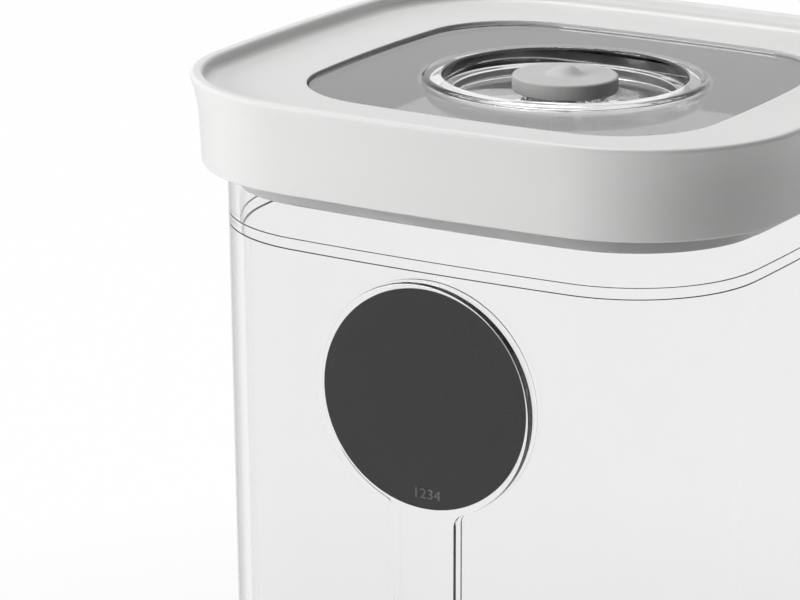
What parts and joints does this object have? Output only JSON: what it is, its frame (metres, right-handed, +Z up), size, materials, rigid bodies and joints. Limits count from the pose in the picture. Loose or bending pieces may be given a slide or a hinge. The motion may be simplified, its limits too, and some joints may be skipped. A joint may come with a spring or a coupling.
{
  "type": "vacuum seal canister",
  "caption": "Tall clear food canister with rounded-square walls and a round label, closed by a white lid with a clear window, pump well and silicone vacuum valve.",
  "frame": {"origin": "centre of the base, on the surface that the canister stands on", "axes": "+Z up through the valve, -Y towards the label, +X to the right seen from the label side"},
  "size_m": [0.112, 0.112, 0.17],
  "materials": {
    "clear_body": "clear, polished",
    "clear_window": "clear, polished",
    "white_lid": "fine satin",
    "silicone": "matt",
    "label": "matt, lightly textured",
    "adhesive": "matt"
  },
  "bodies": {
    "container": {"container_body": "clear_body", "label_adhesive": "adhesive", "label_disc": "label"},
    "lid": {"lid_frame": "white_lid", "lid_window": "clear_window", "lid_plug": "white_lid", "lid_gasket": "silicone"},
    "valve": {"valve": "silicone"}
  },
  "joints": [
    {"name": "lid_lift", "type": "slide", "parent": "container", "child": "lid", "axis": [0, 0, 1], "range_m": [0, 0.08]},
    {"name": "valve_lift", "type": "slide", "parent": "lid", "child": "valve", "axis": [0, 0, 1], "range_m": [0, 0.0015], "stiffness_N_per_m": 200}
  ]
}
